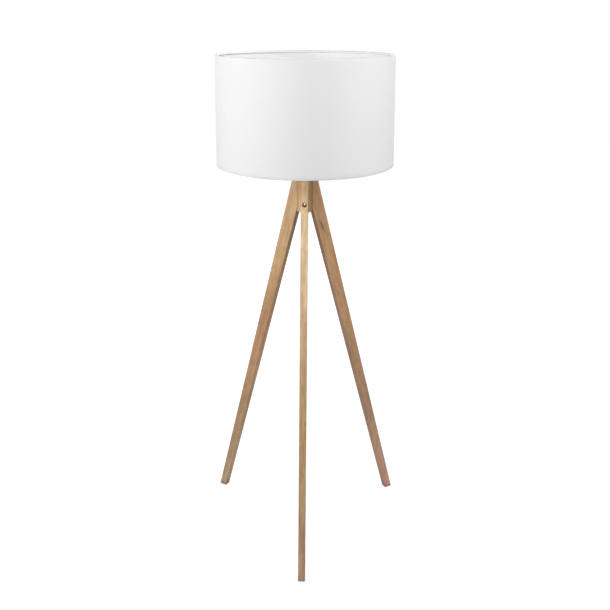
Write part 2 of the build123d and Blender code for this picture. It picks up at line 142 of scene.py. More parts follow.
class Look:
    """One material: each call adds a node and returns its output socket."""

    def __init__(self, name, color, roughness, **sockets):
        self.material = bpy.data.materials.new(name)
        self.material.use_nodes = True
        self.tree = self.material.node_tree
        self.shader = self.tree.nodes["Principled BSDF"]
        self.shader.inputs["Base Color"].default_value = (*color, 1)
        self.shader.inputs["Roughness"].default_value = roughness
        for socket, value in sockets.items():
            self.shader.inputs[socket.replace("_", " ")].default_value = value

    def add(self, kind, inputs=None, output=0, **settings):
        node = self.tree.nodes.new(kind)
        for setting, value in settings.items():
            setattr(node, setting, value)
        for socket, value in (inputs or {}).items():
            if isinstance(value, bpy.types.NodeSocket):
                self.tree.links.new(value, node.inputs[socket])
            else:
                node.inputs[socket].default_value = value
        return node.outputs[output]

    def place(self):
        return self.add("ShaderNodeTexCoord", output="Object")

    def facing(self):
        return self.add("ShaderNodeNewGeometry", output="Normal")

    def math(self, operation, a, b=0.0, c=0.0):
        return self.add("ShaderNodeMath", {0: a, 1: b, 2: c}, operation=operation)

    def vector(self, x, y, z):
        return self.add("ShaderNodeCombineXYZ", {0: x, 1: y, 2: z})

    def parts(self, vector):
        """x, y and z of a vector."""
        return tuple(self.add("ShaderNodeSeparateXYZ", {0: vector}).node.outputs)

    def dot(self, a, b):
        return self.add("ShaderNodeVectorMath", {0: a, 1: b}, output="Value", operation="DOT_PRODUCT")

    def length(self, vector):
        return self.add("ShaderNodeVectorMath", {0: vector}, output="Value", operation="LENGTH")

    def hypotenuse(self, a, b):
        return self.math("SQRT", self.math("ADD", self.math("POWER", a, 2.0), self.math("POWER", b, 2.0)))

    def along(self, way, scale=1):
        """Distance along a direction, times a scale."""
        return self.dot(self.place(), tuple(x * scale for x in way))

    def scaled(self, scale):
        """Place times a scale, which may differ by axis."""
        return self.add("ShaderNodeMapping", {"Vector": self.place(), "Scale": scale})

    def noise(self, vector, scale=1.0, detail=3.0, roughness=0.5, distortion=0.0):
        inputs = {"Vector": vector, "Scale": scale, "Detail": detail}
        inputs.update({"Roughness": roughness, "Distortion": distortion})
        return self.add("ShaderNodeTexNoise", inputs)

    def spread(self, value, low, high, to_low=0.0, to_high=1.0):
        """Value from low to high mapped smoothly to another range."""
        inputs = {"Value": value, "From Min": low, "From Max": high, "To Min": to_low, "To Max": to_high}
        return self.add("ShaderNodeMapRange", inputs, interpolation_type="SMOOTHSTEP")

    def mix(self, amount, a, b, blend="MIX"):
        inputs = {"Factor": amount, 6: a if isinstance(a, bpy.types.NodeSocket) else (*a, 1)}
        inputs[7] = b if isinstance(b, bpy.types.NodeSocket) else (*b, 1)
        return self.add("ShaderNodeMix", inputs, output=2, data_type="RGBA", blend_type=blend)

    def times(self, color, tint):
        return self.mix(1.0, color, tint, "MULTIPLY")

    def tinted(self, amount, color, tint):
        """Colour that is multiplied by a tint, by some amount."""
        return self.mix(amount, color, self.times(color, tint))

    def ramp(self, stops):
        """Colour that runs through (height, colour) stops up the lamp."""
        shown = self.add("ShaderNodeValToRGB", {"Fac": self.along((0, 0, 1), 1 / TONE_TOP)})
        elements = shown.node.color_ramp.elements
        elements.remove(elements[1])
        elements[0].position = stops[0][0] / TONE_TOP
        elements[0].color = (*stops[0][1], 1)
        for position, color in stops[1:]:
            elements.new(position / TONE_TOP).color = (*color, 1)
        return shown

    def edges(self, radius):
        """Normal with edges rounded off by a radius."""
        return self.add("ShaderNodeBevel", {"Radius": radius}, samples=4)

    def edge_mask(self, radius):
        """1 on edges and 0 on open faces."""
        return self.spread(self.dot(self.edges(radius), self.facing()), 0.995, 0.85)

    def bump(self, height, distance, strength=1.0, normal=None):
        inputs = {"Height": height, "Distance": distance, "Strength": strength}
        if normal:
            inputs["Normal"] = normal
        return self.add("ShaderNodeBump", inputs)

    def set(self, **sockets):
        """Links outputs to the shader's sockets."""
        for socket, value in sockets.items():
            self.tree.links.new(value, self.shader.inputs[socket.replace("_", " ")])
        return self.material


def knot_streak(look, color, knot, along, outward, side, grain):
    """Colour with a dark knot at a point, drawn out in a streak that leans a little across the grain."""
    run, across = (along - outward / 6).normalized(), (outward + along / 6).normalized()
    reaches = ((across, 0.0047), (side, 0.030), (run, 0.030))
    streak = look.vector(*[look.along(way, 1 / reach) for way, reach in reaches])
    centre = [knot.dot(way) / reach for way, reach in reaches]
    away = look.add("ShaderNodeVectorMath", {0: streak, 1: centre}, output="Value", operation="DISTANCE")
    rough_edge = look.math("MULTIPLY_ADD", look.noise(grain, 500.0, 2.0), 0.8, away)
    return look.mix(look.spread(rough_edge, 1.35, 0.65, 0.0, 0.9), color, (0.14, 0.060, 0.024))


def wood(name, along, outward, seed, tones_and_light=PLAIN, inner_shade=PLAIN, rear_shade=(1, 1, 1), knot=None):
    """Oiled oak with its grain along one direction. Its tones are (height, tint) pairs up the lamp, part wood
    tone and part painted light and shade, with a painted shade for faces that look at the lamp's axis. The
    rear tint is a painted shade on the piece's rear. A knot is a dark streak at a point."""
    look = Look(name, (0.50, 0.33, 0.19), 0.5, Specular_IOR_Level=0.3, Coat_Weight=0.08, Coat_Roughness=0.3)
    side = along.cross(outward)

    def drawn(across, lengthwise):
        """Place with one scale across the grain and another along it."""
        ways = ((outward, across), (side, across), (along, lengthwise))
        return look.vector(*[look.along(way, scale) for way, scale in ways])

    # Growth rings round a tree's centre that lies beside the piece, bent slowly along the grain.
    drift = look.noise(drawn(9, 1.6), 1.0, 2.0)
    beyond = look.math("ADD", look.along(outward), 0.062 + 0.011 * seed)
    beside = look.math("ADD", look.along(side), 0.021 * seed - 0.03)
    bent = look.math("MULTIPLY_ADD", drift, 0.030, look.hypotenuse(beyond, beside))
    rings_per_metre = 190.0
    ring = look.math("FRACT", look.math("MULTIPLY", bent, rings_per_metre))
    late = look.math("MULTIPLY", look.spread(ring, 0.35, 0.95), look.spread(ring, 1.0, 0.95))
    # Fibres and pores: noise drawn out along the grain.
    grain = drawn(1, 0.03)
    fibre = look.noise(grain, 900.0 + 40 * seed, 3.0, 0.6)
    pores = look.spread(look.noise(grain, 1700.0 + 70 * seed, 2.0), 0.63, 0.72)
    broad = look.noise(drawn(30, 4))
    figure = look.noise(drawn(160, 7))
    mottle = look.noise(drawn(90, 28))
    color = look.mix(look.spread(broad, 0.3, 0.7), (0.375, 0.238, 0.128), (0.500, 0.338, 0.192))
    color = look.mix(look.math("MULTIPLY", late, 0.42), color, (0.315, 0.178, 0.084))
    color = look.mix(look.spread(figure, 0.35, 0.75, 0.0, 0.35), color, (0.585, 0.412, 0.244))
    color = look.mix(look.spread(fibre, 0.35, 0.7, 0.0, 0.22), color, (0.29, 0.17, 0.085))
    color = look.mix(look.math("MULTIPLY", pores, 0.45), color, (0.21, 0.115, 0.055))
    patches = look.mix(look.spread(mottle, 0.3, 0.7), (0.89, 0.88, 0.87), (1.10, 1.10, 1.09))
    color = look.times(color, patches)
    if knot:
        color = knot_streak(look, color, knot, along, outward, side, grain)
    # Tones by place: darker arrises; by height, part wood tone and part painted light and shade; painted
    # shade
    #     # on faces that look at the lamp's axis and on the piece's rear.
    color = look.tinted(look.edge_mask(0.0018), color, EDGE_TINT)
    color = look.times(color, look.ramp(tones_and_light))
    inwards = look.dot(look.facing(), outward)
    color = look.tinted(look.spread(inwards, -0.5, -0.9), color, look.ramp(inner_shade))
    rear = look.spread(look.along(side + 0.2 * outward), -0.017, -0.001)
    color = look.tinted(rear, color, rear_shade)
    # Painted shade, from ambient occlusion, darkens the corners where the pieces meet, but hardly the
    # counterbores.
    open_sky = look.add("ShaderNodeAmbientOcclusion", {"Distance": 0.05}, output="AO", samples=8)
    above_bolt = look.math("SUBTRACT", look.along((0, 0, 1)), BOLT_HEIGHT)
    off_bolt = look.length(look.vector(look.along(side), above_bolt, 0.0))
    unbored = look.spread(off_bolt, 0.0066, 0.0074, 0.3)
    corner = look.math("MULTIPLY", look.spread(open_sky, 0.8, 0.3, 0.0, 0.8), unbored)
    color = look.tinted(corner, color, CORNER_SHADE_TINT)
    roughness = look.spread(fibre, 0.3, 0.7, 0.44, 0.56)
    relief = look.math("SUBTRACT", look.math("MULTIPLY", fibre, 0.3), look.math("MULTIPLY", pores, 0.5))
    normal = look.bump(relief, 0.00006, 1.0, look.edges(0.0004))
    return look.set(Base_Color=color, Roughness=roughness, Normal=normal)


def cloth(name, color, yarn, hem, top):
    """Fine plain weave wrapped round the lamp's axis, with slubs in both directions. A painted shade greys it
    a little from its top to its lower hem, and it is greyer on the hem's roll; a painted shade greys the tops
    of its rims most, strongest at the rear right."""
    look = Look(name, color, 0.85, Sheen_Weight=0.12, Sheen_Roughness=0.5)
    x, y, z = look.parts(look.place())
    around = look.math("MULTIPLY", look.math("ARCTAN2", y, x), look.hypotenuse(x, y))
    warp, weft = [look.math("SINE", look.math("MULTIPLY", way, math.pi / yarn)) for way in (around, z)]
    weave = look.math("MULTIPLY", warp, weft)
    upright = look.noise(look.vector(around, 0.0, look.math("MULTIPLY", z, 0.02)), 700.0, 2.0)
    level = look.noise(look.vector(look.math("MULTIPLY", around, 0.02), 0.0, z), 700.0, 2.0)
    slub = look.math("ADD", upright, level)
    broad = look.noise(look.place(), 9.0, 2.0)
    tone = look.mix(look.spread(slub, 0.8, 1.25), dimmed(color, 0.985), color)
    tone = look.mix(look.spread(broad, 0.3, 0.7, 0.0, 0.3), tone, dimmed(color, 0.985))
    # Painted shade: greyer from the top down to the lower hem.
    tone = look.tinted(look.spread(z, top, hem), tone, (0.955, 0.955, 0.955))
    tone = look.tinted(look.spread(z, hem + 0.010, hem + 0.004), tone, (0.95, 0.95, 0.95))
    # Painted shade on the up-facing tops of the rims, strongest at the rear right.
    dimming = look.mix(look.spread(x, -0.2, 0.03), (0.69, 0.69, 0.69), (0.47, 0.47, 0.47))
    dimming = look.mix(look.spread(y, 0.0, 0.1), (0.62, 0.62, 0.62), dimming)
    _, _, upwards = look.parts(look.facing())
    tone = look.tinted(look.spread(upwards, 0.05, 0.65), tone, dimming)
    height = look.math("MULTIPLY_ADD", slub, 0.25, look.math("MULTIPLY", weave, 0.5))
    return look.set(Base_Color=tone, Normal=look.bump(height, 0.00005, 0.4))


def plastic(name, color, roughness, uneven=0.04, flank_shade=1.0, **sockets):
    """Moulded plastic with a faint spark texture. Its flanks, left and right of the lamp's axis, may be
    greyer, a painted shade."""
    look = Look(name, color, roughness, **sockets)
    fine = look.noise(look.place(), 2600.0, 2.0)
    broad = look.noise(look.place(), 60.0, 2.0)
    tone = look.mix(look.spread(broad, 0.3, 0.7), dimmed(color, 1 - uneven), color)
    # Painted shade on the flanks, left and right of the lamp's axis.
    if flank_shade < 1:
        level_way = look.add("ShaderNodeVectorMath", {0: look.scaled((1, 1, 0))}, operation="NORMALIZE")
        aside = look.math("ABSOLUTE", look.parts(level_way)[0])
        tone = look.tinted(look.spread(aside, 0.25, 0.75), tone, (flank_shade, flank_shade, flank_shade))
    scuffs = look.noise(look.place(), 180.0, 3.0)
    worn = look.spread(scuffs, 0.3, 0.7, roughness - uneven, roughness + 1.5 * uneven)
    normal = look.bump(fine, 0.00002, 0.6, look.edges(0.0003))
    return look.set(Base_Color=tone, Roughness=worn, Normal=normal)


def metal(name, color, roughness, brush):
    """Metal turned about the lamp's axis: faint level brush marks and uneven tone."""
    look = Look(name, color, roughness, Metallic=1.0)
    marks = look.noise(look.scaled((60, 60, 4200)), 1.0, 2.0)
    stains = look.noise(look.place(), 140.0, 4.0)
    tone = look.mix(look.spread(stains, 0.35, 0.75), color, dimmed(color, 0.86))
    rough = look.spread(stains, 0.3, 0.7, roughness - 0.03, roughness + 0.1)
    normal = look.bump(marks, 0.00002, brush, look.edges(0.0002))
    return look.set(Base_Color=tone, Roughness=rough, Normal=normal)


def oxide(name, reach):
    """Black oxide with a brown cast. Its parts farthest from the lamp's axis, the tops of the bolts' heads at
    some reach, carry a painted highlight of bright steel."""
    dark, stained, bright = (0.13, 0.105, 0.08), (0.11, 0.09, 0.07), (0.64, 0.54, 0.42)
    glint_depth = 0.6 * MM
    look = Look(name, dark, 0.3, Metallic=1.0)
    patches = look.noise(look.place(), 900.0, 3.0)
    # Painted highlight: bright steel on the tops of the bolts' heads.
    patchy = look.math("MULTIPLY_ADD", patches, 0.4 * glint_depth, look.length(look.scaled((1, 1, 0))))
    painted_glint = look.spread(patchy, reach - glint_depth, reach - 0.3 * glint_depth)
    stains = look.noise(look.place(), 140.0, 4.0)
    tone = look.mix(look.spread(stains, 0.35, 0.75), dark, stained)
    tone = look.mix(painted_glint, tone, bright)
    rough = look.spread(stains, 0.3, 0.7, 0.27, 0.4)
    return look.set(Base_Color=tone, Roughness=rough, Normal=look.edges(0.0002))


def coated(name, color):
    """Powder coat with its fine orange peel."""
    look = Look(name, color, 0.42, Coat_Weight=0.15, Coat_Roughness=0.25)
    peel = look.noise(look.place(), 900.0, 2.0)
    dimming = look.noise(look.place(), 35.0, 4.0)
    tone = look.mix(look.spread(dimming, 0.4, 0.7, 0.0, 0.5), color, dimmed(color, 0.94))
    return look.set(Base_Color=tone, Normal=look.bump(peel, 0.00004, 0.5, look.edges(0.0002)))


def felted(name, color):
    """Pressed felt: matted fibres in mixed shades."""
    look = Look(name, color, 0.97, Sheen_Weight=0.5, Sheen_Roughness=0.6)
    fibres = look.noise(look.place(), 1500.0, 5.0, 0.7, 1.5)
    clumps = look.noise(look.place(), 300.0, 3.0)
    tone = look.mix(look.spread(fibres, 0.35, 0.7), dimmed(color, 0.6), dimmed(color, 1.35))
    tone = look.mix(look.spread(clumps, 0.35, 0.7, 0.0, 0.4), tone, color)
    return look.set(Base_Color=tone, Normal=look.bump(fibres, 0.0004, 0.8))


def ceramic(name, color, roughness):
    """Unglazed ceramic or dark insulating glass with faint specks."""
    look = Look(name, color, roughness)
    specks = look.spread(look.noise(look.place(), 900.0, 3.0), 0.62, 0.7, 0.0, 0.5)
    tone = look.mix(specks, color, dimmed(color, 0.8))
    grit = look.noise(look.place(), 1600.0)
    return look.set(Base_Color=tone, Normal=look.bump(grit, 0.00002, 0.5, look.edges(0.0003)))


# --- meshes
def finish_piece(name, mesh, material, body, replaced, sharp=35.0):
    """Puts a bmesh in the scene as a piece that rides a body and stands for CAD nodes."""
    bmesh.ops.recalc_face_normals(mesh, faces=mesh.faces)
    for face in mesh.faces:
        face.smooth = True
    for edge in mesh.edges:
        if len(edge.link_faces) == 2 and edge.calc_face_angle() > math.radians(sharp):
            edge.smooth = False
    piece = as_object(name, mesh)
    piece.data.materials.append(material)
    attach(piece, body)
    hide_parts(*replaced)
    return piece


def as_object(name, mesh):
    """Moves a bmesh into a new object in the scene."""
    data = bpy.data.meshes.new(name)
    mesh.to_mesh(data)
    mesh.free()
    made = bpy.data.objects.new(name, data)
    bpy.context.scene.collection.objects.link(made)
    return made


def outwards(angle):
    """Level direction from the lamp's axis at an angle in degrees."""
    turn = math.radians(angle)
    return Vector((math.cos(turn), math.sin(turn), 0))


def rounded(corners, steps=5):
    """Closed outline from (x, y, rounding) corners, each rounded off by an arc."""
    outline = []
    for i, (x, y, radius) in enumerate(corners):
        if radius == 0:
            outline.append((x, y))
            continue
        here = Vector((x, y))
        before = Vector(corners[i - 1][:2]) - here
        after = Vector(corners[(i + 1) % len(corners)][:2]) - here
        a, b = before.normalized(), after.normalized()
        half = a.angle(b) / 2
        reach = min(radius / math.tan(half), 0.49 * before.length, 0.49 * after.length)
        radius = reach * math.tan(half)
        centre = here + (a + b).normalized() * radius / math.sin(half)
        start, end = here + a * reach - centre, here + b * reach - centre
        turn = math.pi - 2 * half
        for step in range(steps + 1):
            part = step / steps
            arm = start * math.sin((1 - part) * turn) + end * math.sin(part * turn)
            outline.append(tuple(centre + arm / math.sin(turn)))
    return outline


def direction(points, i):
    """Direction of a path at one of its points."""
    return (points[min(i + 1, len(points) - 1)] - points[max(i - 1, 0)]).normalized()


def band(path, thickness):
    """Closed outline of a band of some thickness along an open path of (x, y) points."""
    points = [Vector(p) for p in path]
    sides = []
    for i in range(len(points)):
        run = direction(points, i)
        sides.append(Vector((-run.y, run.x)) * thickness / 2)
    left = [tuple(p + s) for p, s in zip(points, sides)]
    right = [tuple(p - s) for p, s in zip(points, sides)]
    return left + right[::-1]


def arc(centre, radii, start, end, steps):
    """Points on an ellipse's arc, from a start to an end angle in degrees."""
    angles = [math.radians(start + (end - start) * i / steps) for i in range(steps + 1)]
    return [(centre[0] + radii[0] * math.cos(a), centre[1] + radii[1] * math.sin(a)) for a in angles]


def lathe(outline, segments, form=None, closed=True):
    """bmesh turned about Z from an outline of (radius, height) points. form(radius, height, angle) gives a
    point's own radius and height; an open outline starts and ends on the axis."""
    mesh = bmesh.new()
    rings = []
    for radius, height in outline:
        if radius < 1e-6:
            rings.append([mesh.verts.new((0, 0, height))] * segments)
            continue
        ring = []
        for i in range(segments):
            angle = 2 * math.pi * i / segments
            r, z = form(radius, height, angle) if form else (radius, height)
            ring.append(mesh.verts.new((r * math.cos(angle), r * math.sin(angle), z)))
        rings.append(ring)
    for i in range(len(rings) if closed else len(rings) - 1):
        low, high = rings[i], rings[(i + 1) % len(rings)]
        for k in range(segments):
            corners = [low[k], low[(k + 1) % segments], high[(k + 1) % segments], high[k]]
            corners = list(dict.fromkeys(corners))
            if len(corners) > 2:
                mesh.faces.new(corners)
    return mesh


def upright_runs(low, high, step):
    """Heights from low to high, both included, at most a step apart."""
    count = max(1, math.ceil((high - low) / step))
    return [low + (high - low) * i / count for i in range(count + 1)]


def thread(low, high, pitch, depth, fade):
    """Form of a rounded screw thread cut into a turned wall between two heights."""

    def form(radius, height, angle):
        if not low <= height <= high:
            return radius, height
        ends = min(1, (height - low) / fade, (high - height) / fade)
        wave = 0.5 - 0.5 * math.cos(2 * math.pi * (height / pitch - angle / (2 * math.pi)))
        return radius - depth * ends * wave, height

    return form


def tube(mesh, points, radius, segments=16):
    """Adds a round wire with domed ends along points to a bmesh."""
    first = (points[1] - points[0]).normalized()
    last = (points[-1] - points[-2]).normalized()
    # Stations along the wire: centre, direction and share of its radius.
    route = [(points[0] - first * radius * 0.5, first, 0.35), (points[0] - first * radius * 0.3, first, 0.8)]
    route += [(point, direction(points, i), 1.0) for i, point in enumerate(points)]
    route += [(points[-1] + last * radius * 0.3, last, 0.8), (points[-1] + last * radius * 0.5, last, 0.35)]
    rings = []
    for centre, run, share in route:
        side = run.cross(Vector((0, 0, 1))).normalized()
        up = side.cross(run)
        turns = [2 * math.pi * k / segments for k in range(segments)]
        offsets = [(side * math.cos(t) + up * math.sin(t)) * radius * share for t in turns]
        rings.append([mesh.verts.new(centre + offset) for offset in offsets])
    for low, high in zip(rings, rings[1:]):
        for k in range(segments):
            mesh.faces.new([low[k], low[(k + 1) % segments], high[(k + 1) % segments], high[k]])
    mesh.faces.new(rings[0][::-1])
    mesh.faces.new(rings[-1])


# --- wood pieces
def dress(node, material):
    """Gives a CAD node's object a material."""
    slots = nodes[node].data.materials
    slots.clear()
    slots.append(material)


def leg_frame(angle):
    """Directions of a leg: up along it, and outwards square to it."""
    vertices = [v.co for v in nodes["leg_front"].data.vertices]
    low, high = span("leg_front")
    foot = max(math.hypot(v.x, v.y) for v in vertices if v.z < low + MM)
    tip = max(math.hypot(v.x, v.y) for v in vertices if v.z > high - MM)
    out = outwards(angle)
    along = (Vector((0, 0, high - low)) - out * (foot - tip)).normalized()
    return along, (out - along * out.dot(along)).normalized()


def dress_wood():
    """Gives each leg, the hub and the dowels their own run of grain."""
    for seed, (side, angle) in enumerate(LEG_ANGLES.items()):
        along, outward = leg_frame(angle)
        knot = KNOT if side == "right" else None
        material = wood(f"oak_{side}", along, outward, seed, LEG_TONE_AND_PAINTED_LIGHT[side], INNER_PAINTED_SHADE[side], knot=knot)
        dress(f"leg_{side}", material)
    up, right = Vector((0, 0, 1)), Vector((1, 0, 0))
    dress("hub_block", wood("oak_hub", up, right, 3, LEG_TONE_AND_PAINTED_LIGHT["hub"], rear_shade=HUB_REAR_SHADE))
    dress("leg_dowels", wood("beech", up, right, 4))


# --- shade
def shade_fabric(material):
    """Fabric of the drum: a lapped wall whose ends are rolled over the rings' wires."""
    thickness = 0.6 * MM
    lap = 12 * MM
    lap_start = math.radians(90)
    tuck = 1.2 * MM
    wire_radius = (span("top_ring")[1] - span("top_ring")[0]) / 2
    roll = wire_radius + thickness / 2 + 0.1 * MM
    rise = roll + 0.2 * MM
    upper, lower = sum(span("top_ring")) / 2, sum(span("bottom_ring")) / 2
    upper_wire, lower_wire = outer_radius("top_ring") - wire_radius, outer_radius("bottom_ring") - wire_radius
    lower_wall = outer_radius("shade_cover") - 0.9 * thickness
    upper_wall = lower_wall - (lower_wire - upper_wire)

    def taper(z):
        """Share of the way from the lower ring to the upper one."""
        return (z - lower) / (upper - lower)

    def wall(z):
        return lower_wall + taper(z) * (upper_wall - lower_wall)

    def end(height, way):
        """Path from the wall round a wire to the lining; way is 1 at the top and -1 at the bottom."""
        wire = lower_wire + taper(height) * (upper_wire - lower_wire)
        lining = inner_radius("shade_lining", height - 10 * MM, height + 10 * MM)
        outside = arc((wire, height), (wall(height) - wire, way * rise), 0, 90, 6)
        inside = arc((wire, height), (roll, way * rise), 90, 265, 10)
        return outside + inside[1:] + [(lining - tuck, height - way * (roll + 0.6 * MM))]

    straight = [(wall(z), z) for z in upright_runs(lower, upper, 12 * MM)]
    path = end(lower, -1)[::-1] + straight[1:-1] + end(upper, 1)
    mean = (lower_wall + upper_wall) / 2
    lap_turn = lap / mean

    def form(r, z, angle):
        """Steps the wall out over the lap and makes it wander by up to 0.3 mm, but not the tucked ends."""
        past = (angle - lap_start) % (2 * math.pi)
        step = min(1, past / 0.0035, max(0, (lap_turn - past) / 0.012)) if past < lap_turn else 0
        slow = 0.12 * math.sin(3 * angle + 0.7)
        slow += 0.09 * math.sin(7 * angle + 8 * z)
        slow += 0.06 * math.sin(13 * angle - 15 * z)
        wire = wall(z) - (lower_wall - lower_wire)
        share = min(1, max(0, (r - wire) / (lower_wall - lower_wire)))
        return r + share * (slow * MM + step * thickness), z

    mesh = lathe(band(path, thickness), 720, form)
    piece = finish_piece("shade_fabric", mesh, material, "shade", ["shade_cover"])


def spider(material):
    """The fitter and the three wires that carry it, with their weld beads."""
    low, high = span("fitter_ring")
    inside, outside = inner_radius("fitter_ring"), outer_radius("fitter_ring")
    edge = 0.6 * MM
    corners = [(inside, low, edge), (outside, low, edge), (outside, high, edge), (inside, high, edge)]
    finish_piece("fitter", lathe(rounded(corners), 128), material, "shade", ["fitter_ring"])
    wire = (span("bottom_ring")[1] - span("bottom_ring")[0]) / 2
    arm_low, _ = span("spider_arms")
    reach = outer_radius("bottom_ring") - wire
    start = inside + 4 * MM
    bead_size = Vector((1.1, 1.25, 0.5)) * wire
    mesh = bmesh.new()
    for angle in ARM_ANGLES:
        out = outwards(angle)
        inner = out * start + Vector((0, 0, low - wire))
        bend = out * (outside - 2 * MM) + Vector((0, 0, low - wire - 0.15 * MM))
        outer = out * (reach - wire) + Vector((0, 0, arm_low + wire))
        runs = [inner, inner.lerp(bend, 0.7), bend]
        runs += [bend.lerp(outer, share) for share in (0.01, 0.03, 0.5, 1.0)]
        tube(mesh, runs, wire)
        for share in (0.3, 0.8):
            bead = inner.lerp(bend, share) + Vector((0, 0, 0.7 * wire))
            place = Matrix.LocRotScale(bead, Euler((0, 0, math.radians(angle))), bead_size)
            bmesh.ops.create_icosphere(mesh, subdivisions=3, radius=1, matrix=place)
    finish_piece("shade_wires", mesh, material, "shade", ["spider_arms"])


# --- lampholder
def hexagon(across_flats):
    """Form that trims a turned piece to a hexagon."""

    def form(radius, height, angle):
        off = (angle % (math.pi / 3)) - math.pi / 6
        return min(radius, across_flats / 2 / math.cos(off)), height

    return form


def nuts(material):
    """Chamfered hexagon nuts on the tube: one under the lampholder and one in the hub."""
    vertices = [v.co for v in nodes["tube_nuts"].data.vertices]
    middle = sum(span("tube_nuts")) / 2
    bore = min(math.hypot(v.x, v.y) for v in vertices)
    flats = 14 * MM
    corner = flats / math.sqrt(3)
    face = 0.93 * flats / 2
    drop = (corner - face) * 0.5
    chamfer = 0.5 * MM
    lower = [v.z for v in vertices if v.z < middle]
    upper = [v.z for v in vertices if v.z > middle]
    for name, heights in (("nut_lower", lower), ("nut_upper", upper)):
        z0, z1 = min(heights), max(heights)
        outline = [(bore + chamfer, z0), (face, z0), (corner, z0 + drop), (corner, z1 - drop), (face, z1)]
        outline += [(bore + chamfer, z1), (bore, z1 - chamfer), (bore, z0 + chamfer)]
        mesh = lathe(outline, 96, hexagon(flats))
        finish_piece(name, mesh, material, "stand", ["tube_nuts"], 25)


def holder_cap(material):
    """Cap of the lampholder, with shallow grips round its side."""
    low, high = span("holder_cap")
    radius = outer_radius("holder_cap")
    bore = inner_radius("holder_cap")
    boss, boss_height = 8 * MM, 6 * MM
    base = low + boss_height
    shoulder = span("holder_skirt")[0]
    wall = 2 * MM
    corners = [
        (bore, low, 0.3 * MM),
        (boss, low, 0.6 * MM),
        (boss, base, 0.8 * MM),
        (radius - 2.5 * MM, base, 1.0 * MM),
        (radius, base + 3 * MM, 2.5 * MM),
        (radius, shoulder, 0.3 * MM),
        (radius - wall, shoulder, 0),
        (radius - wall, high, 0.3 * MM),
        (radius - 2 * wall, high, 0.3 * MM),
        (radius - 2 * wall, base + 4 * MM, 1.0 * MM),
        (bore, base + 4 * MM, 0),
    ]
    grips, grip_depth = 36, 0.35 * MM

    def grip(r, z, angle):
        if r > radius - 0.2 * MM and base + 5 * MM < z < shoulder - 2 * MM:
            return r - grip_depth * max(0, math.cos(grips * angle)) ** 3, z
        return r, z

    # More points where the side's grips begin and end.
    smooth = rounded(corners)
    outline = []
    for a, b in zip(smooth, smooth[1:] + smooth[:1]):
        outline.append(a)
        if a[0] == b[0] and abs(a[0] - radius) < 0.1 * MM and abs(b[1] - a[1]) > 4 * MM:
            rise = math.copysign(1, b[1] - a[1])
            outline += [(radius, a[1] + rise * d * MM) for d in (1.8, 2.6)]
            outline += [(radius, b[1] - rise * d * MM) for d in (2.6, 1.8)]
    mesh = lathe(outline, 432, grip)
    finish_piece("holder_body", mesh, material, "stand", ["holder_cap"])


def threaded_skirt(material):
    """Outer shell of the lampholder: a shoulder for the shade, and a thread for its ring."""
    low, high = span("holder_skirt")
    flange = outer_radius("holder_skirt")
    bore = inner_radius("holder_skirt")
    shoulder = span("fitter_ring")[0] - 0.1 * MM
    ledge = shoulder - 3 * MM
    crest = inner_radius("shade_ring") - 0.3 * MM
    body = outer_radius("holder_cap")
    edge = 0.5 * MM
    thread_low, thread_high = shoulder + 1 * MM, high - 0.8 * MM
    outline = [(bore, low), (body, low), (body, ledge - 0.6 * MM), (body + 0.6 * MM, ledge)]
    outline += [(flange - edge, ledge), (flange, ledge + edge), (flange, shoulder - edge)]
    outline += [(flange - edge, shoulder), (crest, shoulder)]
    outline += [(crest, z) for z in upright_runs(thread_low, thread_high, 0.2 * MM)]
    outline += [(crest - 0.6 * MM, high), (bore + edge, high), (bore, high - edge)]
    form = thread(thread_low, thread_high, 2.5 * MM, 0.7 * MM, 1.5 * MM)

    def outer_only(r, z, angle):
        return form(r, z, angle) if crest - 0.05 * MM < r < body - 0.1 * MM else (r, z)

    mesh = lathe(outline, 128, outer_only)
    finish_piece("holder_shell", mesh, material, "stand", ["holder_skirt"])


def clamp_ring(material):
    """Ring with a ribbed rim that clamps the shade's fitter."""
    low, high = span("shade_ring")
    bore, rim = inner_radius("shade_ring"), outer_radius("shade_ring")
    collar, flange = 23.5 * MM, 2.5 * MM
    edge = 0.4 * MM
    ribs = 60
    outline = [(bore, low + edge), (bore + edge, low), (rim - edge, low)]
    outline += [(rim, z) for z in upright_runs(low + edge, low + flange - edge, edge)]
    outline += [(rim - edge, low + flange), (collar + 0.6 * MM, low + flange)]
    outline += [(collar, z) for z in upright_runs(low + flange + 0.8 * MM, high - 0.8 * MM, 1 * MM)]
    outline += [(collar - 0.7 * MM, high), (bore + 0.5 * MM, high), (bore, high - 0.5 * MM)]

    def ribbed(r, z, angle):
        tooth = 0.5 - 0.5 * math.cos(ribs * angle)
        if r >= rim - 0.05 * MM:
            return r - 0.5 * MM * tooth**2, z
        if collar - 0.05 * MM <= r <= collar + 0.05 * MM:
            return r - 0.4 * MM * tooth**2, z
        return r, z

    mesh = lathe(outline, 480, ribbed)
    finish_piece("clamp_ring", mesh, material, "shade_ring", ["shade_ring"])


def bushing(material):
    """Cord outlet under the hub, with a flared mouth."""
    low, high = span("cord_bushing")
    bore, flange = inner_radius("cord_bushing"), outer_radius("cord_bushing")
    shoulder = span("hub_block")[0]
    spigot = 9.9 * MM
    corners = [
        (bore, high, 0.3 * MM),
        (bore, low, 1.6 * MM),
        (flange, low, 1.2 * MM),
        (flange, shoulder, 0.2 * MM),
        (spigot, shoulder, 0),
        (spigot, high, 0.4 * MM),
    ]
    mesh = lathe(rounded(corners), 128)
    finish_piece("cord_outlet_bushing", mesh, material, "stand", ["cord_bushing"])


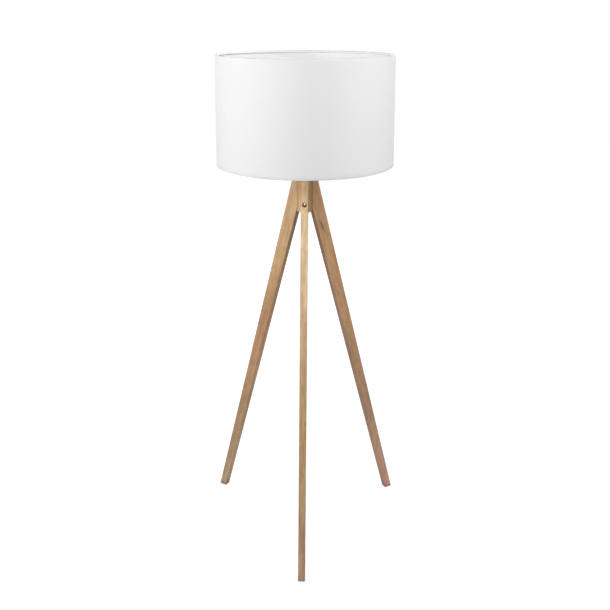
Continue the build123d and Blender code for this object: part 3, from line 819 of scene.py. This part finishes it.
# --- bulb
def globe(opal):
    """Hollow globe of the bulb. Returns its radius at the seam."""
    seam, top = span("bulb_globe")
    radius = outer_radius("bulb_globe")
    centre = top - radius
    thickness = 1.5 * MM
    middle = radius - thickness / 2
    start = math.degrees(math.asin((seam + 0.3 * MM - centre) / middle))
    dome = arc((0, centre), (middle, middle), start, 90, 28)
    dome[-1] = (0, centre + middle)
    inner = radius - thickness
    outside = [(r * radius / middle, centre + (z - centre) * radius / middle) for r, z in dome]
    inside = [(r * inner / middle, centre + (z - centre) * inner / middle) for r, z in dome]
    mesh = lathe(outside + inside[::-1], 128)
    finish_piece("globe", mesh, opal, "bulb", ["bulb_globe"])
    return outside[0][0]


def bulb(opal, white, nickel, black):
    """Globe, housing and threaded cap of the bulb."""
    seam_radius = globe(opal)
    seam, _ = span("bulb_globe")
    tip, _ = span("bulb_contact")
    cap_low, cap_high = span("bulb_cap")
    cap_radius = outer_radius("bulb_cap")

    neck = cap_radius + 0.8 * MM
    flare_low, flare_rise = cap_high + 2 * MM, seam - cap_high - 4 * MM
    shares = [i / 14 for i in range(15)]
    flare = [(neck + (seam_radius - neck) * share**1.15, flare_low + flare_rise * share) for share in shares]
    outline = [(0, cap_high), (neck - 0.6 * MM, cap_high), (neck, cap_high + 0.6 * MM)] + flare
    outline += [(seam_radius, seam - 0.4 * MM), (seam_radius - 0.4 * MM, seam), (0, seam)]
    mesh = lathe(outline, 128, None, False)
    finish_piece("bulb_body", mesh, white, "bulb", ["bulb_housing"])

    wall = [(cap_radius, z) for z in upright_runs(cap_low, cap_high, 0.25 * MM)]
    core = cap_radius - 1.6 * MM
    outline = [(core, cap_low - 0.2 * MM)] + wall + [(core, cap_high)]
    form = thread(cap_low, cap_high - 3 * MM, 3.63 * MM, 0.95 * MM, 2 * MM)

    def outer_only(r, z, angle):
        return form(r, z, angle) if r > core + 0.1 * MM else (r, z)

    mesh = lathe(outline, 96, outer_only)
    finish_piece("screw_cap", mesh, nickel, "bulb", ["bulb_cap"])

    solder = outer_radius("bulb_contact")
    rim = solder + 2 * MM
    glass_low, glass_high = span("bulb_insulator")
    corners = [(0, glass_low, 0), (rim, glass_low, 1 * MM)]
    corners += [(cap_radius - 0.8 * MM, glass_high, 0.4 * MM), (0, glass_high, 0)]
    mesh = lathe(rounded(corners), 96, None, False)
    finish_piece("insulator", mesh, black, "bulb", ["bulb_insulator"])
    bead = arc((0, glass_low), (solder, glass_low - tip), -90, 0, 10)
    bead[0] = (0, tip)
    mesh = lathe(bead + [(solder, glass_low), (0, glass_low)], 48, None, False)
    finish_piece("solder_tip", mesh, nickel, "bulb", ["bulb_contact"])


# --- leg fixing and feet
def bolt_mesh(head_start):
    """A domed machine screw along +Z with its thread, whose head starts at a height. Returns its top too."""
    shank, head, rim, dome = 3 * MM, 5 * MM, 1.4 * MM, 2.4 * MM
    thread_low, thread_high = 0.4 * MM, head_start - 14 * MM
    outline = [(0, 0), (shank - 0.6 * MM, 0)]
    outline += [(shank, z) for z in upright_runs(thread_low, thread_high, 0.125 * MM)]
    outline += [(shank, head_start - 0.3 * MM), (shank, head_start), (head - 0.3 * MM, head_start)]
    outline += [(head, head_start + 0.3 * MM)]
    top = head_start + rim + dome
    outline += arc((0, head_start + rim), (head, dome), 0, 90, 14)[:-1] + [(0, top)]
    form = thread(thread_low, thread_high, 1 * MM, 0.55 * MM, 0.5 * MM)
    return lathe(outline, 48, form, False), top


def cross_recess(top):
    """Tapered cross that is cut into a bolt's head."""
    mesh = bmesh.new()
    for turn in (0, math.pi / 2):
        blade = bmesh.ops.create_cube(mesh, size=1)["verts"]
        for v in blade:
            deep = v.co.z < 0
            v.co.x *= (1.6 if deep else 4.6) * MM
            v.co.y *= (0.7 if deep else 1.15) * MM
            v.co.z = top + (-1.9 if deep else 0.6) * MM
        bmesh.ops.rotate(mesh, verts=blade, cent=(0, 0, 0), matrix=Matrix.Rotation(turn, 3, "Z"))
    return mesh


def bolts(material):
    """The three leg bolts, each with its recess turned its own way."""
    vertices = [v.co for v in nodes["leg_bolts"].data.vertices if abs(v.co.x) < 6 * MM and v.co.y < 0]
    tip, end = max(v.y for v in vertices), min(v.y for v in vertices)
    head = 3.8 * MM
    mesh, top = bolt_mesh(tip - end - head)
    body, cutter = as_object("bolt_blank", mesh), as_object("bolt_cutter", cross_recess(top))
    union = cutter.modifiers.new("weld", "REMESH")
    union.mode = "VOXEL"
    union.voxel_size = 0.06 * MM
    cut = body.modifiers.new("recess", "BOOLEAN")
    cut.operation = "DIFFERENCE"
    cut.object = cutter
    cut.solver = "EXACT"
    cut.use_self = True
    shaped = bpy.data.meshes.new_from_object(body.evaluated_get(bpy.context.evaluated_depsgraph_get()))
    for scratch in (body, cutter):
        bpy.data.objects.remove(scratch)
    for (side, angle), twist in zip(LEG_ANGLES.items(), BOLT_TWISTS):
        out = outwards(angle)
        faced = out.to_track_quat("Z", "Y").to_matrix().to_4x4()
        place = Matrix.Translation(out * -tip + Vector((0, 0, BOLT_HEIGHT))) @ faced
        mesh = bmesh.new()
        mesh.from_mesh(shaped)
        turned = place @ Matrix.Rotation(math.radians(twist), 4, "Z")
        bmesh.ops.transform(mesh, verts=mesh.verts, matrix=turned)
        finish_piece(f"bolt_{side}", mesh, material, "stand", ["leg_bolts"], 30)
    bpy.data.meshes.remove(shaped)


def foot_pads(material):
    """Felt glides, with a softened and slightly ragged edge."""
    low, high = span("foot_pads")
    vertices = [v.co for v in nodes["foot_pads"].data.vertices if v.co.y < -0.2]
    radius = (max(v.x for v in vertices) - min(v.x for v in vertices)) / 2
    centre = -(max(v.y for v in vertices) + min(v.y for v in vertices)) / 2
    edge = 0.6 * MM

    def ragged(r, z, angle):
        wave = math.sin(23 * angle) * math.sin(7 * angle + 900 * z) + 0.6 * math.sin(41 * angle + 2)
        return (r - 0.12 * MM * (1 + wave), z) if r > 0.9 * radius else (r, z)

    corners = [(0, low, 0), (radius, low, edge), (radius, high, edge), (0, high, 0)]
    for side, angle in LEG_ANGLES.items():
        mesh = lathe(rounded(corners), 180, ragged, False)
        turn = math.radians(angle)
        bmesh.ops.translate(mesh, verts=mesh.verts, vec=(centre * math.cos(turn), centre * math.sin(turn), 0))
        finish_piece(f"pad_{side}", mesh, material, "stand", ["foot_pads"])


# --- floor, lights and camera
def floor():
    """White floor that keeps the lamp's soft shadow, and is clear when the camera looks at it from below."""
    mesh = bmesh.new()
    bmesh.ops.create_circle(mesh, cap_ends=True, segments=96, radius=9)
    plane = as_object("floor", mesh)
    look = Look("studio_floor", (0.45, 0.45, 0.45), 0.9, Specular_IOR_Level=0.0)
    path = look.add("ShaderNodeLightPath").node.outputs
    seen = look.math("MAXIMUM", path["Is Camera Ray"], path["Is Glossy Ray"])
    seen = look.math("MAXIMUM", seen, path["Is Transmission Ray"])
    look.shader.inputs["Emission Color"].default_value = (1, 1, 1, 1)
    glow = look.spread(look.length(look.place()), 0.4, 4.0, FLOOR_GLOW_NEAR, FLOOR_GLOW_FAR)
    look.set(Emission_Strength=look.math("MULTIPLY", seen, glow))
    backfacing = look.add("ShaderNodeNewGeometry", output="Backfacing")
    below = look.math("MULTIPLY", backfacing, path["Is Camera Ray"])
    clear = look.add("ShaderNodeBsdfTransparent")
    surface = look.add("ShaderNodeMixShader", {0: below, 1: look.shader.outputs[0], 2: clear})
    look.tree.links.new(surface, look.tree.nodes["Material Output"].inputs["Surface"])
    plane.data.materials.append(look.material)


def surroundings():
    """World that shows white, also in gloss and glass, and lights the lamp only faintly."""
    world = bpy.data.worlds.new("studio")
    bpy.context.scene.world = world
    world.use_nodes = True
    tree = world.node_tree
    shown = tree.nodes["Background"]
    shown.inputs["Color"].default_value = (1, 1, 1, 1)
    path = tree.nodes.new("ShaderNodeLightPath").outputs
    first, second = tree.nodes.new("ShaderNodeMath"), tree.nodes.new("ShaderNodeMath")
    for node in (first, second):
        node.operation = "MAXIMUM"
    tree.links.new(path["Is Camera Ray"], first.inputs[0])
    tree.links.new(path["Is Glossy Ray"], first.inputs[1])
    tree.links.new(first.outputs[0], second.inputs[0])
    tree.links.new(path["Is Transmission Ray"], second.inputs[1])
    strength = tree.nodes.new("ShaderNodeMapRange")
    strength.inputs["To Min"].default_value = AMBIENT
    strength.inputs["To Max"].default_value = 1.0
    tree.links.new(second.outputs[0], strength.inputs["Value"])
    tree.links.new(strength.outputs[0], shown.inputs["Strength"])


def add_turned(name, data, place, turn):
    """Puts a light or camera in the scene at a place, turned by a quaternion."""
    made = bpy.data.objects.new(name, data)
    made.location = place
    made.rotation_mode = "QUATERNION"
    made.rotation_quaternion = turn
    bpy.context.scene.collection.objects.link(made)
    return made


def softbox(name, place, size, watts):
    """Square area light that faces the lamp."""
    light = bpy.data.lights.new(name, "AREA")
    light.shape = "SQUARE"
    light.size = size
    light.energy = watts
    add_turned(name, light, place, (Vector(LIGHT_AIM) - Vector(place)).to_track_quat("-Z", "Y"))


def camera():
    """Camera in front of the lamp, a little to the right and above its shade."""
    data = bpy.data.cameras.new("camera")
    data.sensor_width = 36
    data.lens = 45.88
    down, turned, roll = math.radians(20.50), math.radians(1.31), math.radians(0.115)
    level = Matrix.Rotation(turned, 4, "Z") @ Matrix.Rotation(math.pi / 2 - down, 4, "X")
    turn = (level @ Matrix.Rotation(roll, 4, "Z")).to_quaternion()
    bpy.context.scene.camera = add_turned("camera", data, (0.0513, -2.2054, 1.568), turn)


# --- scene
bpy.context.scene.view_settings.view_transform = "Standard"
camera()
floor()
surroundings()
for box_light in SOFTBOXES:
    softbox(*box_light)

white_fabric = cloth("white_fabric", (0.861, 0.859, 0.862), 0.45 * MM, *span("shade_cover"))
white_laminate = plastic(
    "white_laminate", (0.88, 0.88, 0.88), 0.65, uneven=0.008, flank_shade=0.9, Specular_IOR_Level=0.35
)
white_wire = coated("white_coat", (0.84, 0.84, 0.83))
holder_white = plastic("holder_white", (0.82, 0.82, 0.80), 0.32)
bulb_white = plastic("bulb_white", (0.84, 0.84, 0.83), 0.4)
scatter = {"Subsurface_Weight": 0.3, "Subsurface_Scale": 0.004, "Subsurface_Radius": (1, 1, 1)}
opal = plastic("opal", (0.88, 0.88, 0.86), 0.36, **scatter)
zinc = metal("zinc", (0.62, 0.62, 0.60), 0.38, 0.5)
nickel = metal("nickel", (0.72, 0.70, 0.66), 0.24, 0.2)
black_oxide = oxide("black_oxide", max(-v.co.y for v in nodes["leg_bolts"].data.vertices))
brass = metal("brass", (0.75, 0.58, 0.28), 0.34, 0.4)
black_plastic = plastic("black_plastic", (0.022, 0.022, 0.022), 0.5)
black_glass = ceramic("black_glass", (0.012, 0.012, 0.012), 0.2)
felt = felted("felt", (0.17, 0.13, 0.10))
core_ceramic = ceramic("core_ceramic", (0.78, 0.76, 0.70), 0.6)
board = coated("board", (0.80, 0.81, 0.79))

dress_wood()
shade_fabric(white_fabric)
spider(white_wire)
nuts(zinc)
holder_cap(holder_white)
threaded_skirt(holder_white)
clamp_ring(holder_white)
bushing(black_plastic)
bulb(opal, bulb_white, nickel, black_glass)
bolts(black_oxide)
foot_pads(felt)
for node, material in {
    "shade_lining": white_laminate,
    "top_ring": white_wire,
    "bottom_ring": white_wire,
    "top_plate": white_wire,
    "leg_washers": black_oxide,
    "leg_inserts": brass,
    "threaded_tube": zinc,
    "tube_washer": zinc,
    "lock_screw": zinc,
    "holder_core": core_ceramic,
    "terminal_screws": brass,
    "screw_shell": brass,
    "centre_contact": brass,
    "led_board": board,
}.items():
    dress(node, material)
